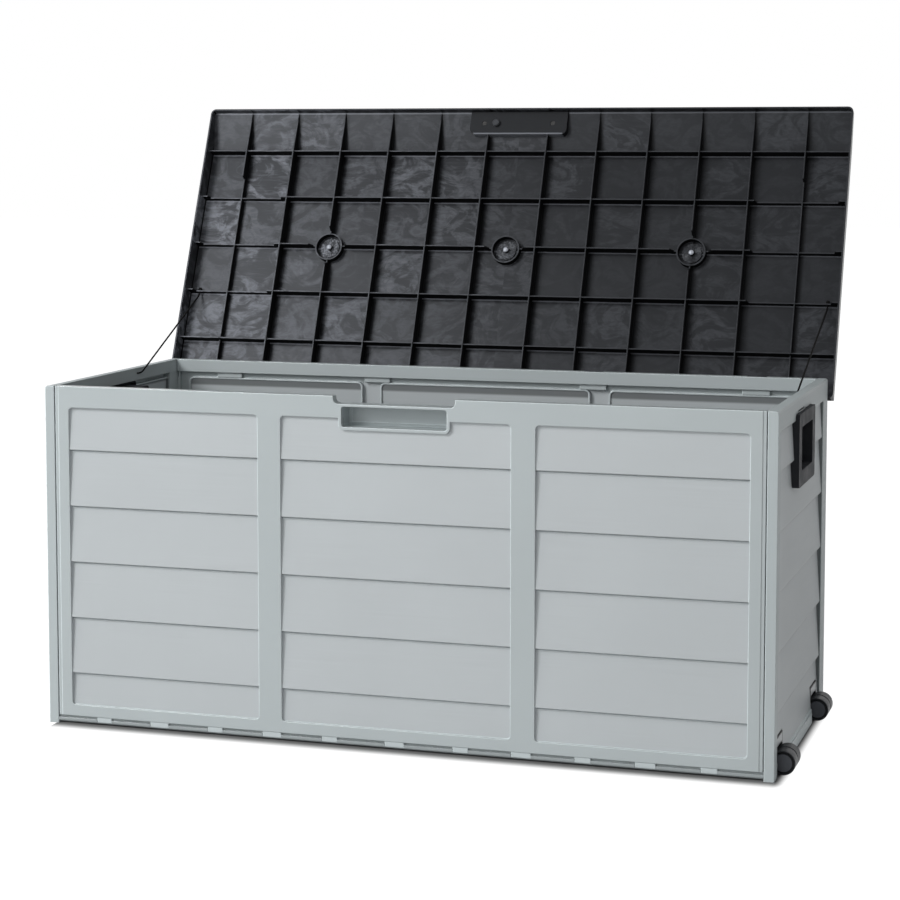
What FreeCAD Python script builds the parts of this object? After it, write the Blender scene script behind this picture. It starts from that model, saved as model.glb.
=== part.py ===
import FreeCAD, Part
import math
import os

V = FreeCAD.Vector

# Sizes are in millimetres. X runs along the box, the front faces minus Y and Z is up.

# Whole body
body_length = 1100.0
body_depth = 460.0
body_height = 512.0
skin = 2.6
fit = 0.3

# Frame and rim of the walls
rim_width = 15.0
lip_height = 20.0
panel_gap = 1.6
corner_radius = 6.0
top_border = 31.5
bottom_border = 17.0
end_border = 21.9
stile_width = 35.8
stile_centre = 191.4
end_strip_width = 5.1
end_strip_step = 0.8

# Lapped boards
first_lap_drop = 95.0
board_pitch = 84.5
side_first_lap_drop = 86.0
board_deep = 7.0
board_proud = 1.5
lap_groove = 1.0
lap_groove_height = 2.4

# Corner posts and the tongues that hold the long walls in them
post_width = 14.5
post_leg = 22.0
rear_post_leg = 42.0
tongue_set_back = 7.0
tongue_length = 11.0
tongue_top_drop = 32.0
tongue_rise = 7.0

# Floor
floor_top = 13.0
floor_plate = 3.0
floor_underside = 2.6
floor_edge_wall = 3.0
floor_edge_step = 4.3
floor_lip_bottom = 5.0
floor_lip_top = 9.3
floor_rib = 3.0
floor_rib_pitch = 90.0
floor_foot_inset = 14.0

# Hooks along the lower edge of the long walls
hook_bottom = 5.0
hook_set_back = 0.8
hook_thickness = 3.2
wide_hook = 29.0
narrow_hook = 23.0
first_hook = 99.5
hook_pitch = 90.0
barb_length = 5.8
barb_height = 2.5
barb_rise = 1.0
window_height = 4.5

# Finger pocket and rim notch in the front wall
pocket_width = 159.0
pocket_height = 29.5
pocket_top_drop = 15.0
pocket_depth = 38.0
pocket_corner = 4.0
pocket_back_chamfer = 3.5
pocket_wall = 2.2
collar_width = 4.5
notch_width = 184.0
notch_depth = 11.5
notch_corner = 8.0

# End walls
side_border = 30.0
strip_top = 21.0
strip_bottom = 1.6
strip_set_back = 1.0
strip_softening = 1.2
pad_proud = 1.5
pad_top = 18.0
pad_end_slope = 14.0
side_edge_round = 3.0
side_flange = 30.0
slit_length = 57.0
slit_height = 3.0
slit_drop = 19.0
slit_shift = 22.0

# Carrying handles
handle_offset = 2.0
handle_width = 148.0
handle_height = 105.2
handle_top_drop = 21.2
handle_proud = 5.7
handle_thickness = 16.0
handle_corner = 6.0
handle_wall = 2.5
grip_opening_width = 100.0
grip_opening_height = 63.0
grip_bar = 19.8
cup_depth = 30.0
cup_rise = 13.0

# Rollers, their brackets and axles
wheel_radius = 17.2
wheel_axis_out = 6.0
wheel_axis_height = 18.2
wheel_inset = 39.5
wheel_half_width = 22.2
wheel_mid_gap = 3.6
wheel_edge_chamfer = 0.6
wheel_groove_inner = 13.4
wheel_groove_outer = 15.8
wheel_groove_depth = 2.4
hub_cover = 2.5
axle_radius = 3.0
axle_fit = 0.02
running_fit = 0.05
arm_thickness = 3.0
arm_boss_radius = 7.0
bracket_width = 58.0
bracket_top = 51.0
bracket_bottom = 3.0
bracket_depth = 28.5
bracket_set_back = 3.5
bracket_side_gap = 1.0
bracket_top_gap = 2.0
socket_weld = 0.4
arch_side_gap = 1.5
arch_top_gap = 2.5
arch_back_gap = 2.0
arch_radius = 6.0
bracket_ear = 8.0

# Lid, drawn closed and then swung open
lid_length = 1115.0
lid_depth = 490.0
lid_height = 31.0
lid_skin = 2.5
lid_overlap = 9.0
lid_rest_gap = 0.2
lid_corner = 9.0
lid_edge_chamfer = 2.5
lid_draft = 1.8
lid_rear_wall = 12.0
lid_rear_run = 6.0
lid_front_height = 14.5
lid_slope_run = 71.5
plank_groove = 1.0
lid_opening = 113.0

# Stiffening ribs under the lid
lid_rib = 2.0
long_rib_first = 75.0
long_rib_pitch = 85.25
long_rib_count = 5
cross_rib_first = 51.75
cross_rib_pitch = 86.45
cross_rib_count = 6
low_rib_height = 10.0
edge_rib_height = 18.0
stub_length = 11.0
low_stretch = 133.0
rib_step = 3.0
edge_tall_stretch = 47.0

# Moulding gate cups under the lid
cup_outer_diameter = 48.0
cup_wall = 2.2
cup_tip_height = 11.5
cup_station = 244.0
cup_clearance = 4.0
cup_slope = 6.0
gate_pad_diameter = 32.0
gate_pad_height = 3.0
gate_nub_diameter = 9.0
gate_nub_height = 6.0

# Grip plate, its screws and the bumper
plate_width = 168.0
plate_rear = 446.0
plate_front_gap = 0.5
plate_face_drop = 8.5
plate_wall = 2.0
plate_chamfer = 8.0
plate_radius = 9.0
plate_seat_gap = 0.1
screw_spacing = 119.0
screw_station = 466.0
screw_shank_radius = 1.6
screw_head_radius = 3.6
screw_head_height = 1.6
screw_sink = 2.2
screw_seat_radius = 6.2
screw_boss_radius = 4.5
screw_bite = 4.0
screw_fit = 0.03
bumper_position = -38.4
bumper_radius = 6.5
bumper_chamfer = 1.5
bumper_height = 5.0
bumper_stem_radius = 3.0
bumper_stem_length = 4.0

# Hinges
hinge_set_back = 1.6
hinge_drop = 16.4
hinge_station_inner = 181.0
hinge_station_outer = 441.0
eye_width = 30.0
eye_radius = 7.5
eye_side_gap = 0.5
hinge_web = 3.0
lug_width = 6.0
lug_radius = 6.0
hinge_pocket_depth = 8.0
hinge_pocket_height = 26.0
pin_radius = 3.0
pin_fit = 0.03
pin_head_radius = 4.6
pin_head_height = 1.6
pin_tail = 1.0

# Stays, the cords that hold the lid open
cord_radius = 1.5
cord_hole_gap = 0.5
knot_radius = 3.4
knot_length = 6.0
cord_sides = 8
stay_wall_y = 60.0
stay_wall_drop = 9.0
stay_rib_index = 1
stay_rib_inset = 21.5
stay_rib_depth = 23.0
stay_exit = 6.5
stay_wall_bend = 4.5
stay_rib_exit = 5.0
stay_rib_bend = 8.0

# Places that follow from the sizes above
half_length = body_length / 2
half_depth = body_depth / 2
wall_end = half_length - post_width - panel_gap
frame_back = board_deep + skin
recess_top = body_height - top_border
recess_bottom = floor_top + bottom_border
side_recess_top = body_height - side_border
board_slope = (board_deep - board_proud) / board_pitch
lid_half_length = lid_length / 2
lid_half_depth = lid_depth / 2
lid_rim_z = body_height - lid_overlap
lid_floor = lid_height - lid_skin
lid_tall_tip = lid_overlap + lid_rest_gap
lid_slope_start = lid_depth - lid_skin - lid_slope_run
lid_front_floor = lid_front_height - lid_skin
front_slope = (lid_height - lid_front_height) / lid_slope_run
hinge_y = half_depth + hinge_set_back
hinge_z = body_height - hinge_drop
hinge_stations = [-hinge_station_outer, -hinge_station_inner, hinge_station_inner, hinge_station_outer]
pocket_top = body_height - pocket_top_drop
pocket_bottom = pocket_top - pocket_height
side_centre = (post_leg - rear_post_leg) / 2
handle_centre = side_centre + handle_offset
wheel_spread = (body_depth - post_leg - rear_post_leg) / 2 - wheel_inset
wheel_places = [side_centre - wheel_spread, side_centre + wheel_spread]
handle_face = half_length + handle_proud
handle_back = handle_face - handle_thickness
handle_top = body_height - handle_top_drop
handle_bottom = handle_top - handle_height
handle_y0 = handle_centre - handle_width / 2
handle_y1 = handle_centre + handle_width / 2
grip_y0 = handle_centre - grip_opening_width / 2
grip_y1 = handle_centre + grip_opening_width / 2
grip_top = handle_top - grip_bar
grip_bottom = grip_top - grip_opening_height
wheel_x = half_length + wheel_axis_out
wheel_half_span = wheel_mid_gap / 2 + wheel_half_width
bracket_face = half_length - bracket_set_back
bracket_back = bracket_face - bracket_depth
arch_half_width = wheel_half_span + arch_side_gap
arch_top = wheel_axis_height + wheel_radius + arch_top_gap
arch_back = wheel_x - wheel_radius - arch_back_gap
strip_back = half_length - strip_set_back - skin
field_front = post_leg - half_depth
field_rear = half_depth - rear_post_leg
screw_positions = [-screw_spacing / 2, screw_spacing / 2]


def box(x0, x1, y0, y1, z0, z1):
    return Part.makeBox(x1 - x0, y1 - y0, z1 - z0, V(x0, y0, z0))


def extruded(points, move):
    outline = Part.makePolygon(points + [points[0]])
    return Part.Face(outline).extrude(move)


def prism_x(points, x0, x1):
    return extruded([V(x0, y, z) for y, z in points], V(x1 - x0, 0, 0))


def prism_y(points, y0, y1):
    return extruded([V(x, y0, z) for x, z in points], V(0, y1 - y0, 0))


def rod(x, y, z, axis, radius, length):
    return Part.makeCylinder(radius, length, V(x, y, z), axis)


def along(edge, axis):
    if not isinstance(edge.Curve, Part.Line):
        return False
    return abs(abs(edge.Curve.Direction.dot(axis)) - 1) < 1e-6


def rounded_box(x0, x1, y0, y1, z0, z1, radius, axis):
    block = box(x0, x1, y0, y1, z0, z1)
    return block.makeFillet(radius, [e for e in block.Edges if along(e, axis)])


def joined(shapes):
    return shapes[0].multiFuse(shapes[1:]).removeSplitter()


def mirrored_x(shape):
    return shape.mirror(V(0, 0, 0), V(1, 0, 0))


def mirrored_y(shape):
    return shape.mirror(V(0, 0, 0), V(0, 1, 0))


def both_ends(shape):
    return [shape, mirrored_x(shape)]


def lap_lines(drop):
    lines = []
    z = body_height - drop
    while z > recess_bottom + board_pitch / 4:
        lines.append(z)
        z -= board_pitch
    return lines


def board_depth(z, drop):
    """How deep the boards' outer face lies at a height, below the lap above it."""
    above = min(line for line in lap_lines(drop) if line >= z)
    return board_deep - board_slope * (above - z)


def board_profile(top, bottom, drop, closing):
    """Front and back of a stack of lapped boards, as depth below the frame face and height."""
    lines = lap_lines(drop)
    front = [(board_proud + board_slope * (top - lines[0]), top)]
    back = [(front[0][0] + skin, top)]
    for line in lines:
        front.append((board_proud, line))
        front.append((board_deep + lap_groove, line))
        front.append((board_deep + lap_groove, line - lap_groove_height))
        front.append((board_deep - board_slope * lap_groove_height, line - lap_groove_height))
        back.append((board_proud + board_slope * skin + skin, line + skin))
        back.append((board_deep + skin, line + skin))
    if closing:
        front += [point for point, inner in closing]
        back += [inner for point, inner in closing]
    else:
        end_depth = board_deep - board_slope * (lines[-1] - bottom)
        front.append((end_depth, bottom))
        back.append((end_depth + skin, bottom))
    return front + back[::-1]


# Long walls

def recess_spans():
    inner = stile_centre - stile_width / 2
    outer = stile_centre + stile_width / 2
    end = wall_end - end_border
    return [(-end, -outer), (-inner, inner), (outer, end)]


def hook_places():
    places = [(0.0, wide_hook)]
    x = first_hook
    wide = False
    while x < wall_end - hook_pitch / 2:
        places += [(-x, wide_hook if wide else narrow_hook), (x, wide_hook if wide else narrow_hook)]
        x += hook_pitch
        wide = not wide
    return places


def hooks(face):
    shapes = []
    for x, width in hook_places():
        front = face + hook_set_back
        back = front + hook_thickness
        leg = box(x - width / 2, x + width / 2, front, back, hook_bottom, floor_top + skin)
        barb_z = hook_bottom + barb_rise
        barb_y = front + hook_thickness
        barb_end = barb_y + barb_length
        profile = [(barb_y - 1, barb_z), (barb_y - 1, barb_z + barb_height),
                   (barb_end - 2, barb_z + barb_height), (barb_end, barb_z + barb_height / 2),
                   (barb_end - 2, barb_z)]
        barb = prism_x(profile, x - width / 3, x + width / 3)
        shapes += [leg, barb]
    return shapes


def long_wall():
    """Front wall without its pocket: the rear wall is its mirror image."""
    face = -half_depth
    frame = box(-wall_end, wall_end, face, face + frame_back, floor_top, body_height)
    hollow = box(-wall_end + skin, wall_end - skin, face + skin, face + frame_back + 1,
                 floor_top + skin, body_height - skin)
    openings = []
    shells = []
    boards = []
    profile = board_profile(recess_top + skin / 2, recess_bottom - skin / 2, first_lap_drop, None)
    section = [(face + depth, z) for depth, z in profile]
    for x0, x1 in recess_spans():
        openings.append(rounded_box(x0, x1, face - 1, face + frame_back + 1,
                                    recess_bottom, recess_top, corner_radius, V(0, 1, 0)))
        shell = rounded_box(x0 - skin, x1 + skin, face - 1, face + frame_back + 2,
                            recess_bottom - skin, recess_top + skin, corner_radius + skin, V(0, 1, 0))
        shells.append(shell)
        boards.append(prism_x(section, x0 - skin, x1 + skin).common(shell))
    hollow = hollow.cut(shells)
    frame = frame.cut([hollow] + openings)
    flange = box(-wall_end, wall_end, face, face + rim_width, body_height - skin, body_height)
    lip = box(-wall_end, wall_end, face + rim_width - skin, face + rim_width,
              body_height - lip_height, body_height)
    tongue_face = face + tongue_set_back
    tongue = box(wall_end - skin, wall_end + tongue_length, tongue_face, tongue_face + skin,
                 floor_top + tongue_rise, body_height - tongue_top_drop)
    strip = box(wall_end - end_strip_width, wall_end + 1, face - 1, face + end_strip_step,
                floor_top - 1, body_height + 1)
    wall = joined([frame] + boards + [flange, lip] + both_ends(tongue) + hooks(face))
    return wall.cut(both_ends(strip))


def stile_ribs():
    """Short shelves that stiffen the two stiles from behind, one at each lap line."""
    face = -half_depth
    shelves = []
    for centre in (-stile_centre, stile_centre):
        for z in lap_lines(first_lap_drop):
            shelves.append(box(centre - stile_width / 2, centre + stile_width / 2,
                               face + skin / 2, face + frame_back, z, z + skin))
    return shelves


def pocket_form(grow, back_chamfer, y0):
    """The pocket's hollow, or its outside when grown by the wall."""
    half = pocket_width / 2 + grow
    back = -half_depth + pocket_depth + grow
    form = box(-half, half, y0, back, pocket_bottom - grow, pocket_top + grow)
    form = form.makeFillet(pocket_corner + grow, [e for e in form.Edges if along(e, V(0, 1, 0))])
    rear = [e for e in form.Edges if e.BoundBox.YMin > back - 1e-4]
    return form.makeChamfer(back_chamfer, rear)


def front_panel():
    face = -half_depth
    outside = pocket_form(pocket_wall, pocket_back_chamfer + pocket_wall / 2, face + skin)
    inside = pocket_form(0, pocket_back_chamfer, face - 1)
    half = pocket_width / 2 + collar_width
    collar = rounded_box(-half, half, face, face + frame_back, pocket_bottom - collar_width,
                         pocket_top + notch_depth - top_border + collar_width + pocket_height / 2,
                         pocket_corner + collar_width, V(0, 1, 0))
    shelf = box(-notch_width / 2 - skin, notch_width / 2 + skin, face + skin / 2, face + rim_width,
                pocket_top, body_height - skin / 2)
    notch = rounded_box(-notch_width / 2, notch_width / 2, face - 1, face + rim_width + 1,
                        body_height - notch_depth, body_height + notch_depth, notch_corner, V(0, 1, 0))
    wall = joined([long_wall(), collar, outside, shelf] + stile_ribs())
    return wall.cut([inside, notch])


def hinge_seat(x):
    """Solid seat with two lugs, standing in the rear wall's rim."""
    half = eye_width / 2 + eye_side_gap
    y0 = half_depth - hinge_pocket_depth - skin
    z0 = body_height - hinge_pocket_height
    seat = box(x - half - lug_width, x + half + lug_width, y0, half_depth, z0 - skin, body_height)
    lugs = rod(x - half - lug_width, hinge_y, hinge_z, V(1, 0, 0), lug_radius, 2 * (half + lug_width))
    neck = box(x - half - lug_width, x + half + lug_width, y0, hinge_y,
               hinge_z - lug_radius, hinge_z + lug_radius)
    return joined([seat, lugs, neck])


def hinge_room(x):
    """What the lid's eye and its webs need to turn in."""
    half = eye_width / 2 + eye_side_gap
    y0 = half_depth - hinge_pocket_depth
    z0 = body_height - hinge_pocket_height
    return box(x - half, x + half, y0, hinge_y + 2 * eye_radius, z0, body_height + 1)


def rear_panel():
    wall = mirrored_y(long_wall().fuse(stile_ribs()))
    wall = joined([wall] + [hinge_seat(x) for x in hinge_stations])
    bores = []
    half = eye_width / 2 + eye_side_gap + lug_width
    for x in hinge_stations:
        side = V(math.copysign(1, x), 0, 0)
        start = x - side.x * (half + 2 * pin_tail)
        bores.append(rod(start, hinge_y, hinge_z, side, pin_radius + pin_fit, 2 * half + 3 * pin_tail))
        head_side = x + side.x * half
        bores.append(rod(head_side, hinge_y, hinge_z, side, pin_head_radius + fit, pin_head_height + fit))
    return wall.cut([hinge_room(x) for x in hinge_stations] + bores)


# End walls

def corner_post(leg):
    """Hollow post, open at the foot, at the front right corner; leg is its size along Y."""
    x0 = half_length - post_width
    y0 = -half_depth
    y1 = -half_depth + leg
    shell = box(x0, half_length, y0, y1, 0, body_height)
    core = box(x0 + skin, half_length - skin, y0 + skin, y1 - skin, -1, body_height - skin)
    slot = box(x0 - 1, x0 + skin + 1, y0 + tongue_set_back - fit, y0 + tongue_set_back + skin + fit,
               floor_top + tongue_rise - fit, body_height - tongue_top_drop + fit)
    return shell.cut([core, slot])


def side_boards():
    lines = lap_lines(side_first_lap_drop)
    edge_depth = board_deep - board_slope * (lines[-1] - strip_top)
    soft = strip_softening
    closing = [((edge_depth, strip_top), (edge_depth + skin, strip_top + skin))]
    for out, z in ((soft, strip_top - soft / 4), (soft / 3, strip_top - soft),
                   (0.0, strip_top - 2 * soft), (0.0, strip_bottom)):
        closing.append(((strip_set_back + out, z), (strip_set_back + out + skin, z)))
    profile = board_profile(side_recess_top + skin / 2, strip_bottom, side_first_lap_drop, closing)
    section = [(half_length - depth, z) for depth, z in profile]
    return prism_y(section, field_front - skin / 2, field_rear + skin / 2)


def side_band():
    y0 = field_front - skin / 2
    y1 = field_rear + skin / 2
    x1 = half_length
    plate = box(x1 - skin, x1, y0, y1, side_recess_top, body_height)
    roof = box(x1 - frame_back, x1, y0, y1, side_recess_top, side_recess_top + skin)
    inner_reach = half_depth - rim_width
    flange = box(x1 - rim_width, x1, -inner_reach, inner_reach, body_height - skin, body_height)
    lip = box(x1 - rim_width, x1 - rim_width + skin, -inner_reach, inner_reach,
              body_height - lip_height, body_height)
    return [plate, roof, flange, lip]


def handle_outline(grow, x0, x1):
    return rounded_box(x0, x1, handle_y0 - grow, handle_y1 + grow, handle_bottom - grow,
                       handle_top + grow, handle_corner + grow, V(1, 0, 0))


def stay_wall_hole():
    x = half_length - rim_width
    return rod(x - 1, stay_wall_y, body_height - stay_wall_drop, V(1, 0, 0),
               cord_radius + cord_hole_gap, skin + 2)


def base_pad():
    """Raised pad along the foot of the end wall, between the places of the rollers."""
    half = wheel_spread - bracket_width / 2 - bracket_side_gap
    out = half_length + pad_proud
    back = half_length - strip_set_back - skin / 2
    y0 = side_centre - half
    y1 = side_centre + half
    points = [V(back, y0, strip_bottom), V(out, y0 + pad_end_slope, strip_bottom),
              V(out, y1 - pad_end_slope, strip_bottom), V(back, y1, strip_bottom)]
    return extruded(points, V(0, 0, pad_top - strip_bottom))


def upper_edge():
    """What the rounding of the end wall's upper outer edge takes off."""
    r = side_edge_round
    x = half_length
    z = body_height
    points = [(x - r, z), (x - r, z + 1), (x + 1, z + 1), (x + 1, z - r), (x, z - r),
              (x - 0.3 * r, z - 0.3 * r)]
    return prism_y(points, -half_depth - 1, half_depth + 1)


def side_panel():
    """Right end wall without the wheel notches: the left one is its mirror image."""
    foot = box(strip_back - side_flange, strip_back + skin / 2, field_front - fit, field_rear + fit,
               floor_top, floor_top + skin)
    posts = [corner_post(post_leg), mirrored_y(corner_post(rear_post_leg))]
    parts = posts + [side_boards(), foot, base_pad()] + side_band()
    slit_y = handle_centre - slit_shift
    slit = box(half_length - skin - 1, half_length + 1, slit_y - slit_length / 2, slit_y + slit_length / 2,
               body_height - slit_drop - slit_height / 2, body_height - slit_drop + slit_height / 2)
    room = handle_outline(fit, half_length - frame_back - 2, half_length + 1)
    return joined(parts).cut([room, slit, stay_wall_hole(), upper_edge()])


def left_side_panel():
    return mirrored_x(side_panel())


def wheel_room(y):
    """Notch for a bracket in the right end wall, and the gap for the bracket's ears."""
    half = bracket_width / 2 + bracket_side_gap
    opening = box(bracket_back - 1, half_length + 1, y - half, y + half, -1, bracket_top + bracket_top_gap)
    ear_half = bracket_width / 2 + bracket_ear + fit
    ears = box(bracket_back - 1, strip_back - skin, y - ear_half, y + ear_half,
               floor_top - 1, floor_top + 2 * skin)
    return opening.fuse(ears)


def bracket_socket(y):
    """Walls that stand round a bracket inside the end wall, up to the boards' inner face."""
    half = bracket_width / 2 + bracket_side_gap + skin
    z0 = floor_top + 2 * skin
    z1 = bracket_top + bracket_top_gap + skin
    laps = [line for line in lap_lines(side_first_lap_drop) if z0 < line < z1]
    deepest = max(board_depth(z, side_first_lap_drop) for z in laps + [z1])
    reach = min(board_deep, deepest + skin - socket_weld)
    return box(bracket_back, half_length - reach, y - half, y + half, z0, z1)


def right_side_panel():
    panel = joined([side_panel()] + [bracket_socket(y) for y in wheel_places])
    return panel.cut([wheel_room(y) for y in wheel_places])


# Floor

def floor_blank():
    """Right half of the floor: plate, edge walls and underside ribs."""
    x1 = strip_back - fit
    y1 = half_depth - floor_edge_step
    plate = box(0, x1, -y1, y1, floor_top - floor_plate, floor_top)
    ribs = [box(x1 - floor_edge_wall, x1, -y1, y1, floor_underside, floor_top)]
    for y in (-y1, y1 - floor_edge_wall):
        ribs.append(box(0, x1, y, y + floor_edge_wall, floor_underside, floor_top))
    foot_x = x1 - floor_foot_inset
    foot_y = y1 - floor_foot_inset
    ribs.append(box(0, floor_edge_wall, -foot_y, foot_y, 0, floor_top))
    x = floor_rib_pitch
    while x < foot_x - floor_rib_pitch / 4:
        ribs.append(box(x - floor_rib / 2, x + floor_rib / 2, -foot_y, foot_y, 0, floor_top))
        x += floor_rib_pitch
    y = 0.0
    while y < foot_y:
        for side in (-y, y):
            ribs.append(box(0, foot_x, side - floor_rib / 2, side + floor_rib / 2, 0, floor_top))
        y += floor_rib_pitch
    lip_y = half_depth - fit
    lips = [box(0, x1, -lip_y, -y1 + 1, floor_lip_bottom, floor_lip_top),
            box(0, x1, y1 - 1, lip_y, floor_lip_bottom, floor_lip_top)]
    blank = joined([plate] + ribs + lips)
    corner_x = half_length - post_width - fit
    front_y = half_depth - post_leg - fit
    rear_y = half_depth - rear_post_leg - fit
    windows = [box(corner_x, half_length, -half_depth, -front_y, -1, floor_top + 1),
               box(corner_x, half_length, rear_y, half_depth, -1, floor_top + 1)]
    for place, width in hook_places():
        z0 = hook_bottom + barb_rise - fit
        for y in (-y1 - 1, y1 - floor_edge_wall - 1):
            windows.append(box(place - width / 3 - fit, place + width / 3 + fit, y, y + floor_edge_wall + 2,
                               z0, z0 + window_height))
        for y in (-half_depth, y1):
            windows.append(box(place - width / 2 - fit, place + width / 2 + fit, y, y + floor_edge_step,
                               floor_lip_bottom - 1, floor_lip_top + 1))
    return blank.cut(windows)


def rib_barb_room():
    """Clears the underside ribs where the hooks' barbs reach in."""
    y1 = half_depth - floor_edge_step - floor_edge_wall
    rooms = []
    for place, width in hook_places():
        z0 = hook_bottom + barb_rise - fit
        for y in (-y1 - 1, y1 - barb_length):
            rooms.append(box(place - width / 3 - fit, place + width / 3 + fit, y, y + barb_length + 1,
                             z0, z0 + window_height))
    return rooms


def floor_panel_right():
    half = bracket_width / 2 + fit
    rooms = rib_barb_room()
    for y in wheel_places:
        rooms.append(box(bracket_back - fit, half_length, y - half, y + half, -1, floor_top + 1))
    return floor_blank().cut(rooms)


def floor_panel_left():
    return mirrored_x(floor_blank().cut(rib_barb_room()))


# Handles

def right_handle():
    """Frame, hollow from behind, with a closed finger cup that rises behind the upper bar."""
    ring = handle_outline(0, handle_back, handle_face)
    ring_hollow = handle_outline(-handle_wall, handle_back - 1, handle_face - handle_wall)
    sleeve = rounded_box(handle_back, handle_face, grip_y0 - handle_wall, grip_y1 + handle_wall,
                         grip_bottom - handle_wall, grip_top + handle_wall, handle_corner, V(1, 0, 0))
    cup_back = handle_back - cup_depth
    cup = rounded_box(cup_back - handle_wall, handle_back + handle_wall, grip_y0 - handle_wall,
                      grip_y1 + handle_wall, grip_bottom - handle_wall, grip_top + cup_rise + handle_wall,
                      handle_corner, V(1, 0, 0))
    cup = cup.cut(box(handle_back, handle_face, grip_y0 - 2 * handle_wall, grip_y1 + 2 * handle_wall,
                      grip_top + handle_wall, handle_top))
    through = rounded_box(cup_back, handle_face + 1, grip_y0, grip_y1, grip_bottom, grip_top,
                          handle_corner - handle_wall, V(1, 0, 0))
    rise = rounded_box(cup_back, handle_back, grip_y0, grip_y1, grip_bottom, grip_top + cup_rise,
                       handle_corner - handle_wall, V(1, 0, 0))
    lid_plate = box(handle_back, handle_back + handle_wall, grip_y0 - handle_wall, grip_y1 + handle_wall,
                    grip_top, grip_top + cup_rise + handle_wall)
    body = joined([ring.cut(ring_hollow), sleeve, cup, lid_plate])
    return body.cut([through, rise])


def left_handle():
    return mirrored_x(right_handle())


# Rollers

def roller_half():
    """Half roller from its inner face at y = 0 outwards, round the Y axis."""
    r = wheel_radius
    w = wheel_half_width
    e = wheel_edge_chamfer
    bore = axle_radius + axle_fit
    bottom = w - wheel_groove_depth
    outline = [(bore, 0), (r, 0), (r, w - e), (r - e, w), (wheel_groove_outer, w),
               (wheel_groove_outer, bottom), (wheel_groove_inner, bottom), (wheel_groove_inner, w),
               (0, w), (0, w - hub_cover), (bore, w - hub_cover)]
    face = Part.Face(Part.makePolygon([V(x, y, 0) for x, y in outline + [outline[0]]]))
    return face.revolve(V(0, 0, 0), V(0, 1, 0), 360)


def wheel(y):
    half = roller_half()
    half.translate(V(0, wheel_mid_gap / 2, 0))
    pair = Part.makeCompound([half, mirrored_y(half)])
    pair.translate(V(wheel_x, y, wheel_axis_height))
    return pair


def wheel_axle(y):
    reach = wheel_half_span - hub_cover - fit
    return rod(wheel_x, y - reach, wheel_axis_height, V(0, 1, 0), axle_radius, 2 * reach)


def wheel_bracket(y):
    """Housing nearly flush with the boards, with the arch for the roller and its central arm."""
    half = bracket_width / 2
    block = box(bracket_back, bracket_face, y - half, y + half, bracket_bottom, bracket_top)
    hollow = box(bracket_back - 1, bracket_face - skin, y - half + skin, y + half - skin,
                 bracket_bottom - 1, bracket_top - skin)
    arch_wall = box(arch_back - skin, bracket_face, y - arch_half_width - skin, y + arch_half_width + skin,
                    bracket_bottom, arch_top + skin)
    arch = box(arch_back, half_length + 1, y - arch_half_width, y + arch_half_width, 0, arch_top)
    corners = [e for e in arch.Edges if along(e, V(1, 0, 0)) and e.BoundBox.ZMin > bracket_bottom]
    arch = arch.makeFillet(arch_radius, corners)
    arm_y0 = y - arm_thickness / 2
    arm = prism_y([(arch_back - 1, wheel_axis_height - arm_boss_radius - bracket_bottom),
                   (wheel_x, wheel_axis_height - arm_boss_radius),
                   (wheel_x, wheel_axis_height + arm_boss_radius),
                   (arch_back - 1, arch_top - arch_radius)], arm_y0, arm_y0 + arm_thickness)
    boss = rod(wheel_x, arm_y0, wheel_axis_height, V(0, 1, 0), arm_boss_radius, arm_thickness)
    bore_radius = axle_radius + running_fit
    bore = rod(wheel_x, arm_y0 - 1, wheel_axis_height, V(0, 1, 0), bore_radius, arm_thickness + 2)
    ear_top = floor_top + skin
    ear = box(bracket_back, arch_back, y - half - bracket_ear, y - half + skin, floor_top, ear_top)
    ear_far = box(bracket_back, arch_back, y + half - skin, y + half + bracket_ear, floor_top, ear_top)
    shell = joined([block.cut(hollow), arch_wall, ear, ear_far]).cut(arch)
    return joined([shell, arm, boss]).cut(bore)


# Lid

def swung_open(shape):
    turned = shape.copy()
    turned.rotate(V(0, hinge_y, hinge_z), V(1, 0, 0), -lid_opening)
    return turned


def lid_y(s):
    """Place along Y of a point at distance s from the lid's rear edge, lid closed."""
    return lid_half_depth - s


def lid_z(depth):
    """Height of a point at a depth above the lid's rim plane, lid closed."""
    return lid_rim_z + depth


def lid_floor_depth(s):
    drop = (lid_floor - lid_front_floor) / lid_slope_run
    return lid_floor - max(0.0, s - lid_slope_start) * drop


def lid_form(inset, top, front, chamfer):
    """Closed block with sloping front and rear and drafted ends, drawn from the rim plane up."""
    half = lid_half_length - inset
    reach = lid_half_depth - inset
    knee = lid_y(lid_slope_start)
    base = lid_z(0) - (1 if inset else 0)
    lengthwise = [(reach, base), (reach, lid_z(lid_rear_wall)), (reach - lid_rear_run, lid_z(top)),
                  (knee, lid_z(top)), (chamfer - reach, lid_z(front) + chamfer * front_slope),
                  (-reach, lid_z(front) - chamfer), (-reach, base)]
    end = half - lid_draft
    crosswise = [(half, base), (end, lid_z(top) - chamfer), (end - chamfer, lid_z(top))]
    crosswise += [(-x, z) for x, z in crosswise[::-1]]
    plan = rounded_box(-half, half, -reach, reach, base, lid_z(top), lid_corner - inset, V(0, 0, 1))
    form = plan.common(prism_x(lengthwise, -half, half))
    return form.common(prism_y(crosswise, -reach, reach))


def rib_x(tips, s):
    """Rib along X at distance s: tips are (x, depth) pairs from left to right."""
    points = tips + [(tips[-1][0], lid_height), (tips[0][0], lid_height)]
    y = lid_y(s)
    return prism_y([(x, lid_z(d)) for x, d in points], y - lid_rib / 2, y + lid_rib / 2)


def rib_y(tips, x):
    """Rib along Y at x: tips are (s, depth) pairs from the rear to the front."""
    points = tips + [(tips[-1][0], lid_height), (tips[0][0], lid_height)]
    return prism_x([(lid_y(s), lid_z(d)) for s, d in points], x - lid_rib / 2, x + lid_rib / 2)


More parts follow.
